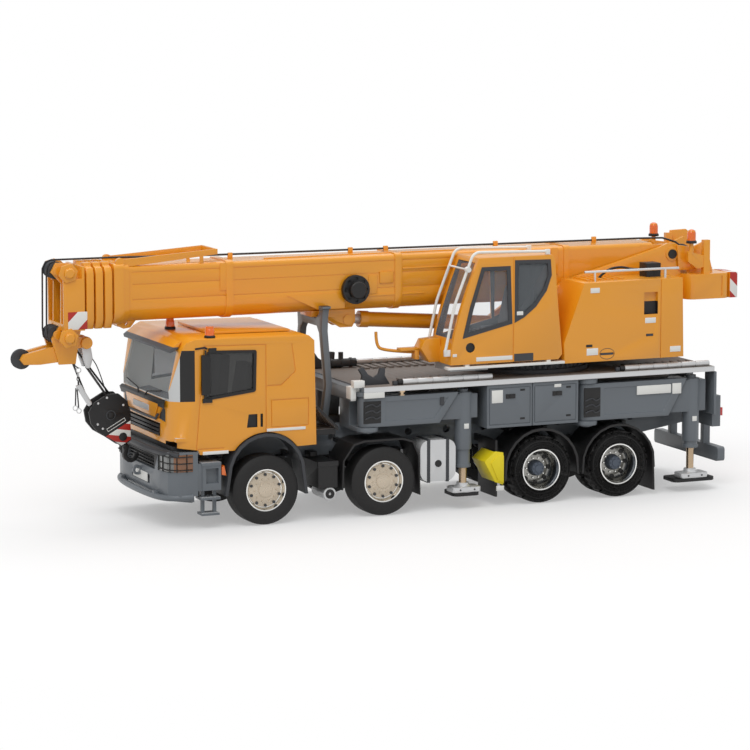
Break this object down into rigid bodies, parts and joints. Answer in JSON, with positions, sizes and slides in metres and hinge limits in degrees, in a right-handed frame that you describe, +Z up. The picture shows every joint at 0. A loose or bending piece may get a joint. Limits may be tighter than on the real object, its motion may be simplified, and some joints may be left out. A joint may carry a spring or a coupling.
{
  "type": "scale model mobile crane",
  "caption": "die-cast scale model of a truck-mounted telescopic crane with steered and driven wheels, folding outriggers, slewing upper, luffing boom and hook block",
  "frame": {"origin": "centre of the bounding box at ground level", "axes": "-X front, -Y left side, +Z up"},
  "size_m": [0.24, 0.051, 0.0826],
  "materials": {
    "carrier_grey": "satin grey paint",
    "crane_yellow": "gloss orange-yellow paint",
    "black_plastic": "matt black moulded plastic",
    "silver_metal": "satin silver metal",
    "tyre_rubber": "moulded rubber tyre and bright rim",
    "clear_glass": "clear plastic glazing",
    "seat_plastic": "dark moulded seats"
  },
  "bodies": {
    "carrier": {"chassis_frame": "carrier_grey", "axles": "carrier_grey", "fuel_tank": "silver_metal", "muffler": "black_plastic", "front_bumper": "carrier_grey", "front_wheel_arches": "carrier_grey", "wheel_arches": "black_plastic", "wheel_chocks": "crane_yellow", "service_boxes": "black_plastic", "deck": "carrier_grey", "side_boxes": "carrier_grey", "outrigger_frames": "carrier_grey", "boom_rest": "carrier_grey", "slewing_ring": "carrier_grey", "truck_cab": "crane_yellow", "truck_cab_glazing": "clear_glass", "truck_cab_interior": "seat_plastic", "truck_cab_trim": "black_plastic"},
    "steer_1_left": {"knuckle_1_left": "carrier_grey"},
    "steer_1_right": {"knuckle_1_right": "carrier_grey"},
    "steer_2_left": {"knuckle_2_left": "carrier_grey"},
    "steer_2_right": {"knuckle_2_right": "carrier_grey"},
    "roll_1_left": {"wheel_1_left": "tyre_rubber"},
    "roll_1_right": {"wheel_1_right": "tyre_rubber"},
    "roll_2_left": {"wheel_2_left": "tyre_rubber"},
    "roll_2_right": {"wheel_2_right": "tyre_rubber"},
    "roll_3_left": {"wheel_3_left": "tyre_rubber"},
    "roll_3_right": {"wheel_3_right": "tyre_rubber"},
    "roll_4_left": {"wheel_4_left": "tyre_rubber"},
    "roll_4_right": {"wheel_4_right": "tyre_rubber"},
    "outrigger_front_left": {"outrigger_beam_front_left": "carrier_grey"},
    "extension_front_left": {"outrigger_slide_front_left": "carrier_grey"},
    "jack_front_left": {"outrigger_jack_front_left": "silver_metal"},
    "outrigger_front_right": {"outrigger_beam_front_right": "carrier_grey"},
    "extension_front_right": {"outrigger_slide_front_right": "carrier_grey"},
    "jack_front_right": {"outrigger_jack_front_right": "silver_metal"},
    "outrigger_rear_left": {"outrigger_beam_rear_left": "carrier_grey"},
    "extension_rear_left": {"outrigger_slide_rear_left": "carrier_grey"},
    "jack_rear_left": {"outrigger_jack_rear_left": "silver_metal"},
    "outrigger_rear_right": {"outrigger_beam_rear_right": "carrier_grey"},
    "extension_rear_right": {"outrigger_slide_rear_right": "carrier_grey"},
    "jack_rear_right": {"outrigger_jack_rear_right": "silver_metal"},
    "superstructure": {"turntable_frame": "crane_yellow", "machinery_house": "crane_yellow", "crane_cab": "crane_yellow", "crane_cab_glazing": "clear_glass", "crane_cab_interior": "seat_plastic", "crane_cab_guard": "silver_metal"},
    "winch": {"winch_drum": "black_plastic"},
    "boom": {"boom_base": "crane_yellow", "cable_reel": "black_plastic"},
    "cylinder_barrel": {"luff_barrel": "crane_yellow"},
    "cylinder_rod": {"luff_rod": "silver_metal"},
    "section_1": {"tele_1": "crane_yellow"},
    "section_2": {"tele_2": "crane_yellow"},
    "section_3": {"tele_3": "crane_yellow"},
    "section_4": {"tele_4": "crane_yellow"},
    "hook_assembly": {"hook_block": "black_plastic"},
    "hook_swivel": {"hook": "silver_metal"}
  },
  "joints": [
    {"name": "steer_1_left", "type": "hinge", "parent": "carrier", "child": "steer_1_left", "pos_m": [-0.0482, -0.0195, 0.01076], "axis": [0, 0, 1], "range_deg": [-22, 22]},
    {"name": "steer_1_right", "type": "hinge", "parent": "carrier", "child": "steer_1_right", "pos_m": [-0.0482, 0.0195, 0.01076], "axis": [0, 0, 1], "range_deg": [-22, 22]},
    {"name": "steer_2_left", "type": "hinge", "parent": "carrier", "child": "steer_2_left", "pos_m": [-0.0094, -0.0195, 0.01076], "axis": [0, 0, 1], "range_deg": [-14.3, 14.3]},
    {"name": "steer_2_right", "type": "hinge", "parent": "carrier", "child": "steer_2_right", "pos_m": [-0.0094, 0.0195, 0.01076], "axis": [0, 0, 1], "range_deg": [-14.3, 14.3]},
    {"name": "roll_1_left", "type": "hinge", "parent": "steer_1_left", "child": "roll_1_left", "pos_m": [-0.0482, -0.0212, 0.01076], "axis": [0, 1, 0], "continuous": true},
    {"name": "roll_1_right", "type": "hinge", "parent": "steer_1_right", "child": "roll_1_right", "pos_m": [-0.0482, 0.0212, 0.01076], "axis": [0, 1, 0], "continuous": true},
    {"name": "roll_2_left", "type": "hinge", "parent": "steer_2_left", "child": "roll_2_left", "pos_m": [-0.0094, -0.0212, 0.01076], "axis": [0, 1, 0], "continuous": true},
    {"name": "roll_2_right", "type": "hinge", "parent": "steer_2_right", "child": "roll_2_right", "pos_m": [-0.0094, 0.0212, 0.01076], "axis": [0, 1, 0], "continuous": true},
    {"name": "roll_3_left", "type": "hinge", "parent": "carrier", "child": "roll_3_left", "pos_m": [0.0444, -0.0185, 0.01076], "axis": [0, 1, 0], "continuous": true},
    {"name": "roll_3_right", "type": "hinge", "parent": "carrier", "child": "roll_3_right", "pos_m": [0.0444, 0.0185, 0.01076], "axis": [0, 1, 0], "continuous": true},
    {"name": "roll_4_left", "type": "hinge", "parent": "carrier", "child": "roll_4_left", "pos_m": [0.0716, -0.0185, 0.01076], "axis": [0, 1, 0], "continuous": true},
    {"name": "roll_4_right", "type": "hinge", "parent": "carrier", "child": "roll_4_right", "pos_m": [0.0716, 0.0185, 0.01076], "axis": [0, 1, 0], "continuous": true},
    {"name": "swing_front_left", "type": "hinge", "parent": "carrier", "child": "outrigger_front_left", "pos_m": [-0.0138, -0.0216, 0.031], "axis": [0, 0, -1], "range_deg": [0, 80]},
    {"name": "extend_front_left", "type": "slide", "parent": "outrigger_front_left", "child": "extension_front_left", "axis": [1, 0, 0], "range_m": [0, 0.022]},
    {"name": "jack_front_left", "type": "slide", "parent": "extension_front_left", "child": "jack_front_left", "axis": [0, 0, -1], "range_m": [0, 0.008]},
    {"name": "swing_front_right", "type": "hinge", "parent": "carrier", "child": "outrigger_front_right", "pos_m": [-0.0138, 0.0216, 0.031], "axis": [0, 0, 1], "range_deg": [0, 80]},
    {"name": "extend_front_right", "type": "slide", "parent": "outrigger_front_right", "child": "extension_front_right", "axis": [1, 0, 0], "range_m": [0, 0.022]},
    {"name": "jack_front_right", "type": "slide", "parent": "extension_front_right", "child": "jack_front_right", "axis": [0, 0, -1], "range_m": [0, 0.008]},
    {"name": "swing_rear_left", "type": "hinge", "parent": "carrier", "child": "outrigger_rear_left", "pos_m": [0.0615, -0.0216, 0.031], "axis": [0, 0, -1], "range_deg": [0, 80]},
    {"name": "extend_rear_left", "type": "slide", "parent": "outrigger_rear_left", "child": "extension_rear_left", "axis": [1, 0, 0], "range_m": [0, 0.024]},
    {"name": "jack_rear_left", "type": "slide", "parent": "extension_rear_left", "child": "jack_rear_left", "axis": [0, 0, -1], "range_m": [0, 0.008]},
    {"name": "swing_rear_right", "type": "hinge", "parent": "carrier", "child": "outrigger_rear_right", "pos_m": [0.0615, 0.0216, 0.031], "axis": [0, 0, 1], "range_deg": [0, 80]},
    {"name": "extend_rear_right", "type": "slide", "parent": "outrigger_rear_right", "child": "extension_rear_right", "axis": [1, 0, 0], "range_m": [0, 0.024]},
    {"name": "jack_rear_right", "type": "slide", "parent": "extension_rear_right", "child": "jack_rear_right", "axis": [0, 0, -1], "range_m": [0, 0.008]},
    {"name": "slew", "type": "hinge", "parent": "carrier", "child": "superstructure", "pos_m": [0.0505, 0, 0.044], "axis": [0, 0, 1], "continuous": true},
    {"name": "winch_turn", "type": "hinge", "parent": "superstructure", "child": "winch", "pos_m": [0.1094, 0, 0.0722], "axis": [0, 1, 0], "continuous": true},
    {"name": "luff", "type": "hinge", "parent": "superstructure", "child": "boom", "pos_m": [0.0984, 0, 0.0749], "axis": [0, 1, 0], "range_deg": [0, 75]},
    {"name": "cylinder_tilt", "type": "hinge", "parent": "superstructure", "child": "cylinder_barrel", "pos_m": [0.058, 0, 0.053], "axis": [0, 1, 0], "range_deg": [0, 85]},
    {"name": "cylinder_stroke", "type": "slide", "parent": "cylinder_barrel", "child": "cylinder_rod", "axis": [-0.997, 0, 0.0778], "range_m": [0, 0.0465]},
    {"name": "extend_1", "type": "slide", "parent": "boom", "child": "section_1", "axis": [-1, 0, 0], "range_m": [0, 0.14]},
    {"name": "extend_2", "type": "slide", "parent": "section_1", "child": "section_2", "axis": [-1, 0, 0], "range_m": [0, 0.14]},
    {"name": "extend_3", "type": "slide", "parent": "section_2", "child": "section_3", "axis": [-1, 0, 0], "range_m": [0, 0.14]},
    {"name": "extend_4", "type": "slide", "parent": "section_3", "child": "section_4", "axis": [-1, 0, 0], "range_m": [0, 0.14]},
    {"name": "hook_swing", "type": "hinge", "parent": "section_4", "child": "hook_assembly", "pos_m": [-0.1029, 0, 0.0572], "axis": [0, 1, 0], "range_deg": [-48, 0]},
    {"name": "hook_turn", "type": "hinge", "parent": "hook_assembly", "child": "hook_swivel", "pos_m": [-0.08495, 0, 0.02423], "axis": [0.4848, 0, -0.8746], "continuous": true}
  ],
  "couplings": [
    {"joint": "steer_1_right", "follows": "steer_1_left", "ratio": 1},
    {"joint": "steer_2_left", "follows": "steer_1_left", "ratio": 0.65},
    {"joint": "steer_2_right", "follows": "steer_1_left", "ratio": 0.65},
    {"joint": "extend_front_left", "follows": "swing_front_left", "m_per_rad": 0.01574},
    {"joint": "extend_front_right", "follows": "swing_front_right", "m_per_rad": 0.01574},
    {"joint": "extend_rear_left", "follows": "swing_rear_left", "m_per_rad": 0.017171},
    {"joint": "extend_rear_right", "follows": "swing_rear_right", "m_per_rad": 0.017171},
    {"joint": "cylinder_tilt", "follows": "luff", "ratio": 1.13},
    {"joint": "cylinder_stroke", "follows": "luff", "m_per_rad": 0.03525},
    {"joint": "hook_swing", "follows": "luff", "ratio": -0.626}
  ]
}
